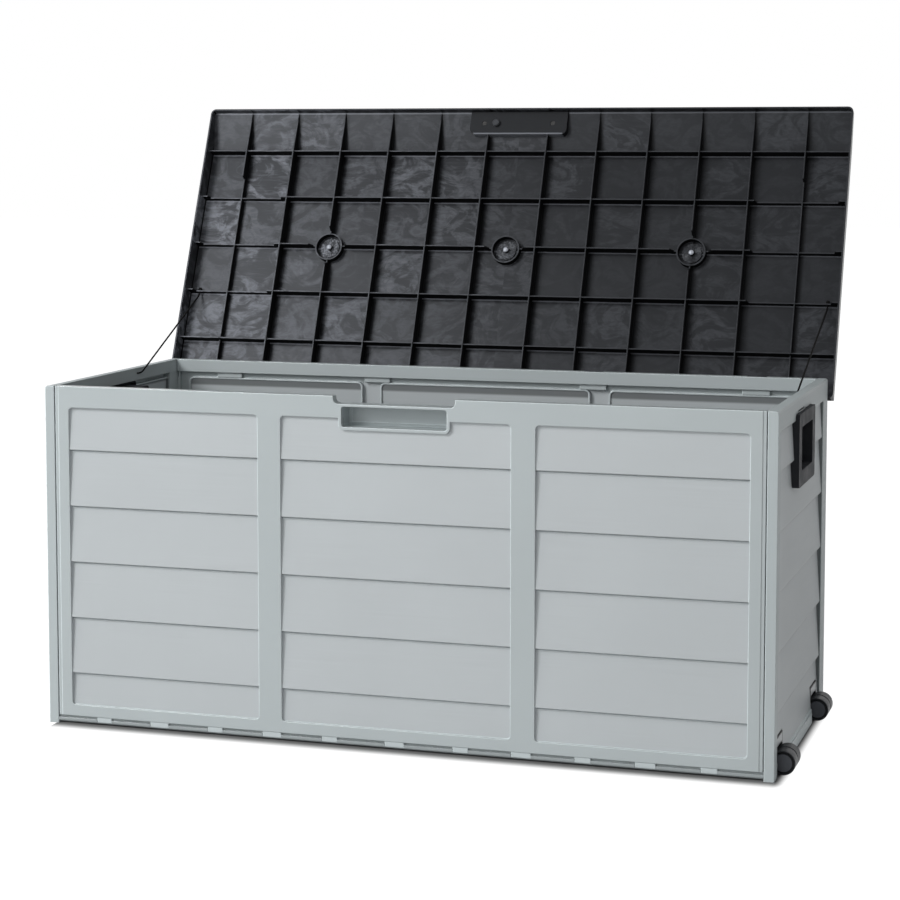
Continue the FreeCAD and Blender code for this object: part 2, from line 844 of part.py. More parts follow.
def long_rib_places():
    return [long_rib_first + i * long_rib_pitch for i in range(long_rib_count)]


def cross_rib_places():
    places = [cross_rib_first + i * cross_rib_pitch for i in range(cross_rib_count)]
    return [-x for x in places[::-1]] + places


def cup_places():
    side = cross_rib_first + 3 * cross_rib_pitch
    return [-side, 0.0, side]


def dipped(tips, centres, tall):
    """Adds the dips of a rib's tip beside the gate cups."""
    low = lid_floor - low_rib_height
    near = cup_outer_diameter / 2 + cup_clearance
    for centre in centres:
        tips += [(centre - near - cup_slope, tall), (centre - near, low),
                 (centre + near, low), (centre + near + cup_slope, tall)]
    return sorted(tips)


def long_ribs():
    """Ribs along the lid's length."""
    end = lid_half_length - lid_skin / 2
    wall = lid_half_length - lid_skin
    tall = lid_tall_tip
    low = lid_floor - low_rib_height
    plain = lid_floor - edge_rib_height
    ribs = []
    places = long_rib_places()
    for s in places:
        if s in (places[0], places[-1]):
            ribs.append(rib_x([(-end, plain), (end, plain)], s))
            continue
        stub = wall - stub_length
        inner = stub - low_stretch
        tips = []
        for side in (-1, 1):
            tips += [(side * end, tall), (side * stub, tall), (side * (stub - rib_step), low),
                     (side * inner, low), (side * (inner - rib_step), tall)]
        at_cups = cup_places() if abs(s - cup_station) < long_rib_pitch / 2 else []
        ribs.append(rib_x(dipped(tips, at_cups, tall), s))
    return ribs


def cross_ribs():
    """Ribs from the lid's rear to its front."""
    start = lid_skin / 2
    front = lid_depth - lid_skin
    tall = lid_tall_tip
    low = lid_floor - low_rib_height
    places = cross_rib_places()
    ribs = []
    for x in places:
        ending = [(lid_slope_start, tall), (front, lid_front_floor)]
        if x in (places[0], places[-1]):
            step = lid_slope_start - edge_tall_stretch
            tips = [(start, low), (step - rib_step, low), (step, tall)]
        else:
            tips = [(start, tall)]
            at_cups = [cup_station] if min(abs(x - c) for c in cup_places()) < 1 else []
            tips = dipped(tips, at_cups, tall)
        ribs.append(rib_y(tips + ending, x))
    return ribs


def gate_cup(x):
    top = lid_z(lid_floor + lid_skin / 2)
    tip = lid_z(lid_floor - cup_tip_height)
    y = lid_y(cup_station)
    down = V(0, 0, -1)
    ring = rod(x, y, top, down, cup_outer_diameter / 2, top - tip)
    bore = rod(x, y, lid_z(lid_floor), down, cup_outer_diameter / 2 - cup_wall, lid_floor)
    pad = rod(x, y, top, down, gate_pad_diameter / 2, gate_pad_height + lid_skin / 2)
    nub = rod(x, y, top, down, gate_nub_diameter / 2, gate_pad_height + gate_nub_height + lid_skin / 2)
    return joined([ring.cut(bore), pad, nub])


def cup_room(x):
    y = lid_y(cup_station)
    return rod(x, y, lid_z(0), V(0, 0, 1), cup_outer_diameter / 2 - cup_wall / 2, lid_height)


def plate_room():
    """Space that the grip plate needs among the ribs."""
    half = plate_width / 2 + fit
    return box(-half, half, lid_y(lid_depth), lid_y(plate_rear - fit), lid_z(0), lid_z(lid_height))


def hinge_eye(x):
    """Eye with its three webs that tie it to the lid's rear corner."""
    half = eye_width / 2
    eye = rod(x - half, hinge_y, hinge_z, V(1, 0, 0), eye_radius, eye_width)
    top = lid_z(lid_floor + lid_skin / 2)
    back = lid_half_depth - lid_skin / 2
    section = [(hinge_y - eye_radius * 0.6, hinge_z + eye_radius * 0.6), (hinge_y - eye_radius * 0.6, top),
               (back - lid_rear_run, top), (back, lid_z(lid_rear_wall)), (back, lid_z(0)),
               (hinge_y + eye_radius * 0.8, hinge_z)]
    lefts = (x - half, x - hinge_web / 2, x + half - hinge_web)
    webs = [prism_x(section, left, left + hinge_web) for left in lefts]
    return joined([eye] + webs)


def stay_rib_hole(x):
    y = lid_y(long_rib_places()[stay_rib_index]) - lid_rib
    return rod(x, y, lid_z(stay_rib_depth), V(0, 1, 0), cord_radius + cord_hole_gap, 2 * lid_rib)


def screw_axis(x, depth, length, radius):
    """Cylinder on a grip plate screw's axis, from a depth towards the lid's top."""
    return rod(x, lid_y(screw_station), lid_z(depth), V(0, 0, 1), radius, length)


def seat_depth():
    return plate_face_drop + screw_sink + plate_wall


def closed_lid():
    outer = lid_form(0, lid_height, lid_front_height, lid_edge_chamfer)
    inner = lid_form(lid_skin, lid_floor, lid_front_floor, plate_seat_gap)
    shell = outer.cut(inner)
    ribs = joined(long_ribs() + cross_ribs())
    ribs = ribs.common(outer).cut([cup_room(x) for x in cup_places()] + [plate_room()])
    stay_x = lid_half_length - stay_rib_inset
    cups = [gate_cup(x) for x in cup_places()]
    bosses = []
    pilots = [stay_rib_hole(-stay_x), stay_rib_hole(stay_x)]
    for x in screw_positions:
        boss_length = lid_floor_depth(screw_station) - seat_depth() + lid_skin / 2
        bosses.append(screw_axis(x, seat_depth(), boss_length, screw_boss_radius))
        pilots.append(screw_axis(x, seat_depth() - 1, screw_bite + 2, screw_shank_radius + screw_fit))
    eyes = [hinge_eye(x) for x in hinge_stations]
    bore = pin_radius + running_fit
    for x in hinge_stations:
        pilots.append(rod(x - eye_width, hinge_y, hinge_z, V(1, 0, 0), bore, 2 * eye_width))
    top = lid_z(lid_height)
    for s in long_rib_places()[:-1]:
        y = lid_y(s)
        half = 2 * plank_groove
        groove = [(y - half, top + 0.01), (y + half, top + 0.01), (y, top - plank_groove)]
        pilots.append(prism_x(groove, -lid_half_length - 1, lid_half_length + 1))
    return joined([shell, ribs] + cups + bosses + eyes).cut(pilots)


def lid():
    return swung_open(closed_lid())


def plate_outline(inset, z0, z1):
    """Plan form of the grip plate: one cut corner and one round corner towards the rear."""
    half = plate_width / 2 - inset
    front = lid_y(lid_depth - lid_skin - plate_front_gap) + inset
    rear = lid_y(plate_rear) - inset
    block = box(-half, half, front, rear, z0, z1)
    posts = [e for e in block.Edges if along(e, V(0, 0, 1)) and e.BoundBox.YMax > rear - 1]
    left = [e for e in posts if e.BoundBox.XMax < 0]
    block = block.makeChamfer(plate_chamfer - inset / 2, left)
    posts = [e for e in block.Edges if along(e, V(0, 0, 1)) and e.BoundBox.YMax > rear - 1]
    right = [e for e in posts if e.BoundBox.XMin > half - 1]
    return block.makeFillet(plate_radius - inset, right)


def under_floor(gap):
    """Block below the lid's sloping floor, less a gap, where the plate may be."""
    front = lid_depth - lid_skin - plate_front_gap
    points = [(plate_rear - 1, 0), (front + 1, 0), (front + 1, lid_floor_depth(front + 1) - gap),
              (plate_rear - 1, lid_floor_depth(plate_rear - 1) - gap)]
    return prism_x([(lid_y(s), lid_z(d)) for s, d in points], -plate_width, plate_width)


def lid_grip_plate():
    face = lid_z(plate_face_drop)
    top = lid_z(lid_height)
    shell = plate_outline(0, face, top).common(under_floor(plate_seat_gap))
    hollow = plate_outline(plate_wall, face + plate_wall, top)
    seats = []
    holes = []
    for x in screw_positions:
        half_wall = plate_wall / 2
        seats.append(screw_axis(x, plate_face_drop + half_wall, screw_sink + half_wall, screw_seat_radius))
        holes.append(screw_axis(x, plate_face_drop - 1, screw_sink + 1, screw_head_radius + fit))
        holes.append(screw_axis(x, plate_face_drop, screw_sink + 2 * plate_wall, screw_shank_radius + fit))
    y = lid_y(screw_station)
    stem_hole = bumper_stem_radius + running_fit
    holes.append(rod(bumper_position, y, face - 1, V(0, 0, 1), stem_hole, plate_wall + 2))
    plate = joined([shell.cut(hollow)] + seats).cut(holes)
    return swung_open(plate)


def grip_plate_screws():
    screws = []
    for x in screw_positions:
        seat = plate_face_drop + screw_sink
        head = screw_axis(x, seat - screw_head_height, screw_head_height, screw_head_radius)
        shank = screw_axis(x, seat - 0.1, plate_wall + screw_bite, screw_shank_radius)
        screws.append(joined([head, shank]))
    return swung_open(Part.makeCompound(screws))


def lid_bumper():
    y = lid_y(screw_station)
    face = lid_z(plate_face_drop)
    pad = rod(bumper_position, y, face, V(0, 0, -1), bumper_radius, bumper_height)
    low = [e for e in pad.Edges if e.BoundBox.ZMax < face - bumper_height + 0.1]
    pad = pad.makeChamfer(bumper_chamfer, low)
    stem = rod(bumper_position, y, face, V(0, 0, 1), bumper_stem_radius, bumper_stem_length)
    return swung_open(joined([pad, stem]))


# Hinge pins

def hinge_pins():
    half = eye_width / 2 + eye_side_gap + lug_width
    pins = []
    for x in hinge_stations:
        side = math.copysign(1, x)
        out = V(side, 0, 0)
        shaft = rod(x - side * (half + pin_tail), hinge_y, hinge_z, out, pin_radius, 2 * half + pin_tail)
        head = rod(x + side * half, hinge_y, hinge_z, out, pin_head_radius, pin_head_height)
        pins.append(joined([shaft, head]))
    return Part.makeCompound(pins)


# Stays

def bend(before, corner, after, radius):
    """Start, middle and end of the arc that rounds a corner of a cord's route."""
    back = (before - corner).normalize()
    on = (after - corner).normalize()
    half_turn = (math.pi - back.getAngle(on)) / 2
    reach = radius * math.tan(half_turn)
    start = corner + back * reach
    end = corner + on * reach
    inward = (back + on).normalize()
    centre = corner + inward * (radius / math.cos(half_turn))
    return start, centre - inward * radius, end


def stay_route():
    """Right hand stay: knot in the end wall's rim, straight run, knot beyond the lid's rib."""
    wall_z = body_height - stay_wall_drop
    lip_outer = half_length - rim_width + skin
    start = V(lip_outer + knot_length / 2, stay_wall_y, wall_z)
    exit_point = V(half_length - rim_width - stay_exit, stay_wall_y, wall_z)
    x = lid_half_length - stay_rib_inset
    s = long_rib_places()[stay_rib_index]
    hole = Part.Vertex(V(x, lid_y(s), lid_z(stay_rib_depth)))
    ahead = Part.Vertex(V(x, lid_y(s + 1), lid_z(stay_rib_depth)))
    hole_point = swung_open(hole).Point
    direction = (swung_open(ahead).Point - hole_point).normalize()
    below = hole_point - direction * (lid_rib / 2 + stay_rib_exit)
    end = hole_point + direction * (lid_rib / 2 + knot_length / 2)
    return start, exit_point, below, end


def cord_section(start):
    """Outline of the cord across its first run, which is along X."""
    points = []
    for i in range(cord_sides):
        angle = (i + 0.5) * 2 * math.pi / cord_sides
        radius = cord_radius / math.cos(math.pi / cord_sides)
        points.append(start + V(0, radius * math.cos(angle), radius * math.sin(angle)))
    return Part.makePolygon(points + [points[0]])


def right_lid_stay():
    start, exit_point, below, end = stay_route()
    a0, a1, a2 = bend(start, exit_point, below, stay_wall_bend)
    b0, b1, b2 = bend(exit_point, below, end, stay_rib_bend)
    edges = [Part.LineSegment(start, a0).toShape(), Part.Arc(a0, a1, a2).toShape(),
             Part.LineSegment(a2, b0).toShape(), Part.Arc(b0, b1, b2).toShape(),
             Part.LineSegment(b2, end).toShape()]
    route = Part.Wire(edges)
    section = cord_section(start)
    area = Part.Face(section).Area
    tube = route.makePipeShell([section], True, False)
    print("stay: length", round(route.Length, 1), "radii", stay_wall_bend, stay_rib_bend,
          "tube volume over section times length", round(tube.Volume / (area * route.Length), 4))
    inward = (a0 - start).normalize()
    outward = (end - b2).normalize()
    knots = [Part.makeCylinder(knot_radius, knot_length, start - inward * knot_length / 2, inward),
             Part.makeCylinder(knot_radius, knot_length, end - outward * knot_length / 2, outward)]
    return joined([tube] + knots)


def left_lid_stay():
    return mirrored_x(right_lid_stay())


nodes = {
    "front_panel": front_panel,
    "rear_panel": rear_panel,
    "left_side_panel": left_side_panel,
    "right_side_panel": right_side_panel,
    "floor_panel_left": floor_panel_left,
    "floor_panel_right": floor_panel_right,
    "lid": lid,
    "hinge_pins": hinge_pins,
    "lid_grip_plate": lid_grip_plate,
    "grip_plate_screws": grip_plate_screws,
    "lid_bumper": lid_bumper,
    "left_handle": left_handle,
    "right_handle": right_handle,
    "front_wheel": lambda: wheel(wheel_places[0]),
    "rear_wheel": lambda: wheel(wheel_places[1]),
    "front_wheel_axle": lambda: wheel_axle(wheel_places[0]),
    "rear_wheel_axle": lambda: wheel_axle(wheel_places[1]),
    "front_wheel_bracket": lambda: wheel_bracket(wheel_places[0]),
    "rear_wheel_bracket": lambda: wheel_bracket(wheel_places[1]),
    "left_lid_stay": left_lid_stay,
    "right_lid_stay": right_lid_stay,
}

os.makedirs("parts", exist_ok=True)
for name, make in nodes.items():
    shape = make()
    shape.exportStep("parts/" + name + ".step")
    print(name, "solids", len(shape.Solids), "valid", shape.isValid(), "volume", round(shape.Volume))
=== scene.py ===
import math

import bpy
import bmesh
from mathutils import Matrix, Vector


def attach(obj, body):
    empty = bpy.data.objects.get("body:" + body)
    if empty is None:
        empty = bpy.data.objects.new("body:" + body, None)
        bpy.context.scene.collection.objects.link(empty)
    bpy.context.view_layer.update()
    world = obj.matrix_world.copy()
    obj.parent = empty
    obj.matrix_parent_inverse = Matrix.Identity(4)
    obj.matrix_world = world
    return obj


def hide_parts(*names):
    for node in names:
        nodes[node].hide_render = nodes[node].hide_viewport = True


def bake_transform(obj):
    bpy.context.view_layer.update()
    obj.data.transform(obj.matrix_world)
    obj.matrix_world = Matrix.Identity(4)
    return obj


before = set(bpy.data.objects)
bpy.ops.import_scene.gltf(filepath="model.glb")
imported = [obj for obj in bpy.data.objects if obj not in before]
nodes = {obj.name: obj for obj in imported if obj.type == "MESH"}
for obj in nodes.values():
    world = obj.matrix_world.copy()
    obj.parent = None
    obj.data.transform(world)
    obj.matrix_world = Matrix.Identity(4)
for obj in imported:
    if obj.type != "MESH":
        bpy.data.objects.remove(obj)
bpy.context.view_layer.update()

# Camera, solved from the photograph's straight edges
CAMERA_PLACE = Vector((1.05239, -3.32112, 0.87721))
CAMERA_YAW = -0.30790
CAMERA_PITCH = 0.08854
CAMERA_LENS = 92.32
CAMERA_SENSOR = 36.0
CAMERA_SHIFT = (0.01123, -0.11638)
CAMERA_CLIP = (0.1, 60.0)

# Body of the box in metres, for masks in the materials
HALF_LENGTH = 0.550
HALF_DEPTH = 0.230
FRAME_FLUSH = 0.0010
BOARD_LIMIT = 0.0095
BOARD_SOFT = 0.0004
GROOVE_DEPTH = 0.0074
GROOVE_SOFT = 0.0003
LONG_FIELD = (-0.520, 0.520, 0.0300, 0.4805)
END_FIELD = (-0.208, 0.188, 0.0210, 0.4820)
END_WALL = 0.1875
END_WALL_DEPTH = 0.012
HOOK_TOP = 0.0128
BRACKET_MIDDLE, BRACKET_SPREAD = -0.0100, 0.1585
BRACKET_RIM, BRACKET_RIM_TOP = 0.0250, 0.0490

# Lid in metres, lying closed; a station counts forward from its rear edge
HINGE = Vector((0.0, 0.2316, 0.4956))
OPENING = math.radians(113.0)
LID_REAR_EDGE = 0.245
LID_FLOOR_Z = 0.5315
LID_SLOPE_START = 0.416
LID_SLOPE = 0.2308
LID_NORMAL = (0.0, -0.9205, 0.3907)
LID_INNER_X, LID_INNER_S = 0.5552, 0.4882
LID_RIBBED_X, LID_RIBBED_S = 0.5535, 0.4865
RIB_FIRST_X, RIB_PITCH_X = 0.05175, 0.08645
RIB_FIRST_S, RIB_PITCH_S = 0.075, 0.08525
CUP_STATION = 0.244
CUP_SPREAD = 0.3111
CUP_PAD_RADIUS = 0.0190

# Rollers in metres
ROLLER_X, ROLLER_Z = 0.556, 0.0182
ROLLER_DISC, ROLLER_RING = 0.0126, 0.0150
ROLLER_RING_SOFT = 0.0003

# Tints of the greys
NO_TINT = (1.0, 1.0, 1.0)
BOARD_TINT = (0.935, 1.0, 1.030)
FRAME_TINT = (0.905, 1.0, 1.022)
DARK_TINT = (0.93, 0.98, 1.10)
GLOSS_TINT = (0.90, 0.94, 1.0, 1.0)

# Edges: share of the rounding that counts as edge, and as a painted highlight where it leans towards the
# light
BEVEL_SAMPLES = 6
EDGE_TURN = (0.92, 0.995, 1.0, 0.0)
CATCH_TURN = (0.04, 0.18)
LIGHT_SIDE = (-0.70, 0.0, 0.70)


def make_camera():
    data = bpy.data.cameras.new("camera")
    data.sensor_width = CAMERA_SENSOR
    data.lens = CAMERA_LENS
    data.shift_x, data.shift_y = CAMERA_SHIFT
    data.clip_start, data.clip_end = CAMERA_CLIP
    camera = bpy.data.objects.new("camera", data)
    bpy.context.scene.collection.objects.link(camera)
    yaw, pitch = CAMERA_YAW, CAMERA_PITCH
    ahead = Vector((math.sin(yaw) * math.cos(pitch), math.cos(yaw) * math.cos(pitch), -math.sin(pitch)))
    right = Vector((math.cos(yaw), -math.sin(yaw), 0.0))
    up = right.cross(ahead)
    turn = Matrix((right, up, -ahead)).transposed()
    camera.matrix_world = Matrix.Translation(CAMERA_PLACE) @ turn.to_4x4()
    bpy.context.scene.camera = camera


class Shader:
    """Builds one material's node tree."""

    def __init__(self, name):
        self.material = bpy.data.materials.new(name)
        self.material.use_nodes = True
        self.tree = self.material.node_tree
        self.tree.nodes.clear()
        self.out = self.tree.nodes.new("ShaderNodeOutputMaterial")

    def node(self, kind, settings=None, **inputs):
        """Adds a node; an input goes by its name, with _ for a space, or by its number, as i0."""
        made = self.tree.nodes.new("ShaderNode" + kind)
        for key, value in (settings or {}).items():
            setattr(made, key, value)
        for key, value in inputs.items():
            numbered = key[0] == "i" and key[1:].isdigit()
            self.put(made.inputs[int(key[1:]) if numbered else key.replace("_", " ")], value)
        return made

    def put(self, socket, value):
        if isinstance(value, bpy.types.NodeSocket):
            self.tree.links.new(value, socket)
        elif isinstance(value, bpy.types.Node):
            self.tree.links.new(value.outputs[0], socket)
        else:
            socket.default_value = value

    def math(self, operation, *values, clamp=False):
        made = self.node("Math", {"operation": operation, "use_clamp": clamp})
        for socket, value in zip(made.inputs, values):
            self.put(socket, value)
        return made.outputs[0]

    def times(self, first, *others):
        """Product of all the values; for masks, 1 where all of them are 1."""
        for value in others:
            first = self.math("MULTIPLY", first, value)
        return first

    def minus(self, a, b):
        return self.math("SUBTRACT", a, b)

    def absolute(self, value):
        return self.math("ABSOLUTE", value)

    def under(self, value, limit):
        """1 where the value is less than the limit."""
        return self.math("LESS_THAN", value, limit)

    def over(self, value, limit):
        """1 where the value is greater than the limit."""
        return self.math("GREATER_THAN", value, limit)

    def larger(self, a, b):
        return self.math("MAXIMUM", a, b)

    def add_part(self, value, part, base):
        """base, and a part of value on top of it."""
        return self.math("MULTIPLY_ADD", value, part, base)

    def gain(self, tone, where, change):
        """tone, changed by a share of itself where the mask is 1."""
        return self.times(tone, self.add_part(where, change, 1.0))

    def towards(self, value, target, where):
        """value where the mask is 0, target where it is 1."""
        return self.add_part(self.minus(target, value), where, value)

    def reach(self, a, b):
        """Length of the vector with the sides a and b."""
        return self.math("SQRT", self.add_part(a, a, self.times(b, b)))

    def place(self):
        return self.node("NewGeometry").outputs["Position"]

    def local(self):
        return self.node("TexCoord").outputs["Object"]

    def local_normal(self):
        return self.node("TexCoord").outputs["Normal"]

    def split(self, vector):
        return self.node("SeparateXYZ", None, i0=vector).outputs

    def join(self, x, y, z):
        return self.node("CombineXYZ", None, i0=x, i1=y, i2=z).outputs[0]

    def dot(self, a, b):
        return self.node("VectorMath", {"operation": "DOT_PRODUCT"}, i0=a, i1=b).outputs["Value"]

    def noise(self, vector, scale, detail, rough=0.5, distortion=0.0):
        return self.node("TexNoise", None, Vector=vector, Scale=scale, Detail=detail, Roughness=rough,
                         Distortion=distortion).outputs["Fac"]

    def stretch(self, vector, factors):
        return self.node("VectorMath", {"operation": "MULTIPLY"}, i0=vector, i1=factors).outputs[0]

    def streaks(self, run, rise, factors, look):
        """Noise on an upright wall, stretched by a factor along it and a factor up it."""
        return self.noise(self.join(self.times(run, factors[0]), 0.0, self.times(rise, factors[1])), *look)

    def ramp(self, value, low, high, to_low=0.0, to_high=1.0):
        return self.node("MapRange", {"interpolation_type": "SMOOTHSTEP"}, i0=value, i1=low, i2=high,
                         i3=to_low, i4=to_high).outputs[0]

    def band(self, value, low, high, soft):
        """1 between low and high, fading over soft outside them."""
        return self.times(self.ramp(value, low - soft, low), self.ramp(value, high, high + soft, 1.0, 0.0))

    def mix(self, factor, first, second):
        return self.node("Mix", {"data_type": "RGBA"}, Factor=factor, i6=first, i7=second).outputs[2]

    def scaled(self, color, factor):
        return self.node("VectorMath", {"operation": "SCALE"}, i0=color, Scale=factor).outputs[0]

    def bump(self, height, distance, strength, normal=None):
        made = self.node("Bump", None, Height=height, Distance=distance, Strength=strength)
        if normal is not None:
            self.put(made.inputs["Normal"], normal)
        return made.outputs[0]

    def rounded(self, radius):
        return self.node("Bevel", {"samples": BEVEL_SAMPLES}, Radius=radius).outputs[0]

    def edge(self, rounded):
        """1 on a rounded edge, 0 on the flat faces beside it."""
        plain = self.node("NewGeometry").outputs["True Normal"]
        return self.ramp(self.dot(rounded, plain), *EDGE_TURN)

    def catch(self, rounded, direction):
        """1 where a rounded edge leans towards a direction."""
        plain = self.node("NewGeometry").outputs["True Normal"]
        lean = self.node("VectorMath", {"operation": "SUBTRACT"}, i0=rounded, i1=plain).outputs[0]
        return self.ramp(self.dot(lean, direction), *CATCH_TURN)

    def closed_lid(self):
        """Object coordinates turned to where the lid lies closed."""
        return self.node("VectorRotate", {"rotation_type": "X_AXIS"}, Vector=self.local(), Center=HINGE[:],
                         Angle=OPENING).outputs[0]

    def surface(self, color, roughness, normal, **extra):
        """Puts the finished surface on the output and returns the material."""
        made = self.node("BsdfPrincipled", None, Base_Color=color, Roughness=roughness, Normal=normal,
                         **extra)
        self.put(self.out.inputs[0], made)
        return self.material


def grey(value, tint=NO_TINT):
    return (value * tint[0], value * tint[1], value * tint[2], 1.0)


# Light grey mouldings: each noise's stretch along and up the wall; its scale, detail, roughness, distortion
GRAIN_STRETCH, GRAIN_NOISE = (6.0, 260.0), (1.0, 5.0, 0.62, 0.45)
FINE_STRETCH, FINE_NOISE = (26.0, 1100.0), (1.0, 3.0, 0.6, 0.2)
PATCH_STRETCH, PATCH_NOISE = (5.0, 17.0), (1.0, 2.0)
PATCH_SHARE = (0.46, 0.66, 0.10, 1.0)
PANEL_CLOUD = (5.5, 3.0)
PANEL_SKIN = (1400.0, 2.0)
GRAIN_TONE, CLOUD_TONE = 0.13, 0.10
GROOVE_SHADE_CHANGE = -0.62
INSERT_RIM_SHADE_CHANGE = -0.92
END_WALL_SHADE_CHANGE = -0.62
LOW_BAND_LIGHT_CHANGE = 0.30
HOOK_CHANGE = 0.18
PANEL_ROUNDING = 0.0015
PAINTED_HIGHLIGHT_LEVEL = 0.92
FINE_HEIGHT, SKIN_HEIGHT = 0.5, 0.10
PANEL_BUMP = (0.00020, 0.5)
GRAIN_RANGE = (0.3, 0.7)
ROUGH_SPREAD = 0.08
EDGE_ROUGHNESS = 0.13


def board_mask(s, depth, run, z, field):
    """1 on the lapped boards, 0 on the frame round them."""
    run_low, run_high, z_low, z_high = field
    board = s.times(s.ramp(depth, FRAME_FLUSH, FRAME_FLUSH + BOARD_SOFT), s.under(depth, BOARD_LIMIT))
    for value, low, high in ((run, run_low, run_high), (z, z_low, z_high)):
        board = s.times(board, s.over(value, low), s.under(value, high))
    return board


def insert_rim(s, y, z):
    """1 on the sides and the top edge of a roller's insert, where shade is painted."""
    off = s.absolute(s.minus(s.absolute(s.minus(y, BRACKET_MIDDLE)), BRACKET_SPREAD))
    return s.larger(s.over(off, BRACKET_RIM), s.over(z, BRACKET_RIM_TOP))


def end_wall_shade_and_foot_light(s, tone, depth, y, z):
    """Paints shade on the recess's rear wall and paints light on the band along the foot."""
    run_low, run_high, z_low, z_high = END_FIELD
    wall = s.times(s.over(y, END_WALL), s.over(depth, FRAME_FLUSH))
    wall = s.times(wall, s.under(depth, END_WALL_DEPTH), s.under(z, z_high))
    tone = s.gain(tone, wall, END_WALL_SHADE_CHANGE)
    low = s.times(s.under(z, z_low), s.over(y, run_low), s.under(y, run_high))
    return s.gain(tone, low, LOW_BAND_LIGHT_CHANGE)


def panel_material(name, along_y=True, board_level=0.520, frame_level=0.495, rough_base=0.28, gloss=0.42,
                   lap_shade_change=0.0, outline_shade_change=0.0, edge_light=1.0):
    """Light grey moulding: smooth frame, boards with a faint wood grain in patches."""
    s = Shader(name)
    local = s.local()
    x, y, z = s.split(local)
    run, across, flush = (y, x, HALF_LENGTH) if along_y else (x, y, HALF_DEPTH)
    depth = s.minus(flush, s.absolute(across))
    board = board_mask(s, depth, run, z, END_FIELD if along_y else LONG_FIELD)
    groove = s.times(board, s.ramp(depth, GROOVE_DEPTH, GROOVE_DEPTH + GROOVE_SOFT))
    grain = s.streaks(run, z, GRAIN_STRETCH, GRAIN_NOISE)
    fine = s.streaks(run, z, FINE_STRETCH, FINE_NOISE)
    patch = s.streaks(run, z, PATCH_STRETCH, PATCH_NOISE)
    where = s.times(board, s.ramp(patch, *PATCH_SHARE))

    tone = s.add_part(s.minus(grain, 0.5), s.times(where, GRAIN_TONE), 1.0)
    tone = s.add_part(s.minus(s.noise(local, *PANEL_CLOUD), 0.5), CLOUD_TONE, tone)
    # Painted shade: the groove under each lap is darkened.
    tone = s.gain(tone, groove, GROOVE_SHADE_CHANGE)
    round_edge = s.rounded(PANEL_ROUNDING)
    edge = s.edge(round_edge)
    on_board = s.times(edge, board)
    on_frame = s.minus(edge, on_board)
    # Painted shade on the boards' rounded edges along the laps.
    tone = s.gain(tone, on_board, lap_shade_change)
    # Painted shade: dark outlines on the frame's rounded edges, and on the sides and top of a roller's
    # insert.
    tone = s.gain(tone, on_frame, outline_shade_change)
    if outline_shade_change:
        tone = s.gain(tone, insert_rim(s, y, z), INSERT_RIM_SHADE_CHANGE)
    if along_y:
        # Painted shade on the recess's rear wall and painted light on the band along the foot.
        tone = end_wall_shade_and_foot_light(s, tone, depth, y, z)
    else:
        tone = s.gain(tone, s.under(z, HOOK_TOP), HOOK_CHANGE)

    base = s.scaled(s.mix(board, grey(frame_level, FRAME_TINT), grey(board_level, BOARD_TINT)), tone)
    # Painted highlight on rounded edges that lean up and to the left.
    painted_highlight = s.times(s.catch(round_edge, LIGHT_SIDE), edge_light)
    color = s.mix(painted_highlight, base, grey(PAINTED_HIGHLIGHT_LEVEL, FRAME_TINT))
    skin = s.times(s.noise(local, *PANEL_SKIN), SKIN_HEIGHT)
    height = s.add_part(s.add_part(fine, FINE_HEIGHT, grain), where, skin)
    rough = s.ramp(grain, *GRAIN_RANGE, rough_base, rough_base + ROUGH_SPREAD)
    rough = s.towards(rough, EDGE_ROUGHNESS, on_frame)
    return s.surface(color, rough, s.bump(height, *PANEL_BUMP, round_edge), Specular_IOR_Level=gloss)


# Lid: stretch, then scale, detail, roughness and distortion of the three noises that make its flow marks
CLOUD_STRETCH, CLOUD_NOISE = (1.0, 1.3, 1.0), (17.0, 4.0, 0.58, 2.0)
WISP_STRETCH, WISP_NOISE = (1.0, 1.8, 1.0), (44.0, 4.0, 0.60, 2.2)
STREAK_STRETCH, STREAK_NOISE = (1.0, 9.0, 1.0), (22.0, 3.0, 0.6, 0.8)
FIELD_SHIFT = 0.9
CLOUD_RANGE = (0.42, 0.58)
WISP_RANGE = (0.36, 0.62, 0.50, 1.0)
STREAK_RANGE, STREAK_SHARE = (0.50, 0.70), 0.25
FIELD_RANGE = (0.10, 0.90, 0.25, 1.15)
MARKS_SHEEN_FADE = (-0.60, 0.10, 1.0, 0.13)
MARKS_LEVEL = 0.190
LID_TONE_AND_SHEEN = (-0.60, 0.10, 0.040, 0.020)
RIB_SHADE = (0.012, 0.120, 0.05, 1.0)
FLOOR_MARGIN = 0.001
FACES_OUT = 0.8
RIB_TIP_DEPTH, RIB_TIP_HIGHLIGHT = 0.004, (-0.45, 0.45, 0.036, 0.014)
RIB_LINE = (0.964, 0.990, 0.005)
FRONT_RIB_LINE = (0.4848, 0.4868, 0.0005)
RIB_HIGHLIGHT_FADE, RIB_HIGHLIGHT_LEVEL = (-0.45, 0.45, 1.0, 0.45), 0.17
RIB_SIDE_TURN, RIB_SIDE_DEPTH = 0.6, 0.0002
RIB_SIDE_SHADE_LEVEL, RIB_SIDE_ROUGHNESS = 0.0008, 0.75
PAD_TURNS, PAD_TURN_HEIGHT = 3600.0, 0.35
PAD_SPECK, PAD_SPECK_RANGE = (260.0, 3.0, 0.6), (0.42, 0.66, 0.10, 1.0)
PAD_SPECK_AND_SHEEN, PAD_ROUGHNESS = (-0.45, 0.30, 0.20, 0.03), 0.20
LID_ROUGHNESS, FIELD_ROUGHNESS = (0.0, 1.3, 0.30, 0.50), 0.35
LID_SKIN, LID_SKIN_HEIGHT = (900.0, 2.0), 0.05
LID_WAVE, LID_WAVE_HEIGHT = (17.0, 2.0), 2.0
LID_BUMP = (0.0006, 0.5)
LID_ROUNDING = 0.0009
LID_GLOSS = 0.13


